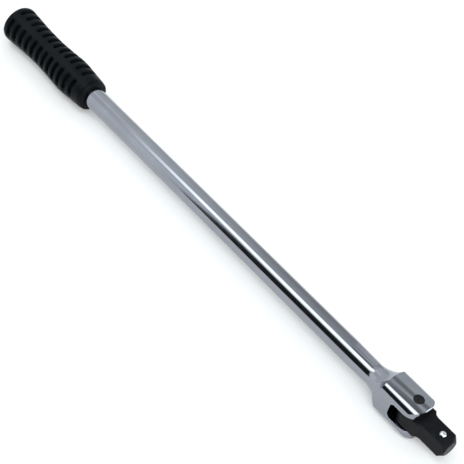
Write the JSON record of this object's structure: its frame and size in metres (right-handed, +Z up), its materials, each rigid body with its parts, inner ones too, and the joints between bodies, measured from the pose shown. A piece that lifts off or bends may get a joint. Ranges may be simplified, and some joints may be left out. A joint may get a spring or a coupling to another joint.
{
  "type": "breaker bar",
  "caption": "Long round bar with a contoured ribbed grip and a forked end holding a pivoting square drive head.",
  "frame": {"origin": "Under the middle of the tool's length, on the surface that it lies on, below the bar's axis.", "axes": "+X along the bar towards the drive tip, +Z up along the pivot pin, +Y across the fork's flat sides."},
  "size_m": [0.4572, 0.0288, 0.0288],
  "materials": {
    "chromed_bar": "polished",
    "grip": "satin",
    "black_oxide": "satin",
    "pin_steel": "satin",
    "ball_steel": "polished",
    "spring_steel": "satin"
  },
  "bodies": {
    "handle": {"fork_bar": "chromed_bar", "grip_sleeve": "grip", "pivot_pin": "pin_steel", "friction_spring": "spring_steel"},
    "drive_head": {"drive_tang": "black_oxide", "detent_spring": "spring_steel"},
    "socket_detent": {"detent_ball": "ball_steel"},
    "angle_detent": {"friction_ball": "ball_steel"}
  },
  "joints": [
    {"name": "head_swing", "type": "hinge", "parent": "handle", "child": "drive_head", "pos_m": [0.1974, 0, 0.0144], "axis": [0, 0, 1], "range_deg": [-90, 90]},
    {"name": "detent_ball_press", "type": "slide", "parent": "drive_head", "child": "socket_detent", "axis": [0, 0, -1], "range_m": [0, 0.0011], "stiffness_N_per_m": 3000, "springref_m": -0.001, "deforming": ["detent_spring"]},
    {"name": "friction_ball_press", "type": "slide", "parent": "handle", "child": "angle_detent", "axis": [-1, 0, 0], "range_m": [0, 0.0005], "stiffness_N_per_m": 6000, "springref_m": -0.001, "deforming": ["friction_spring"]}
  ]
}
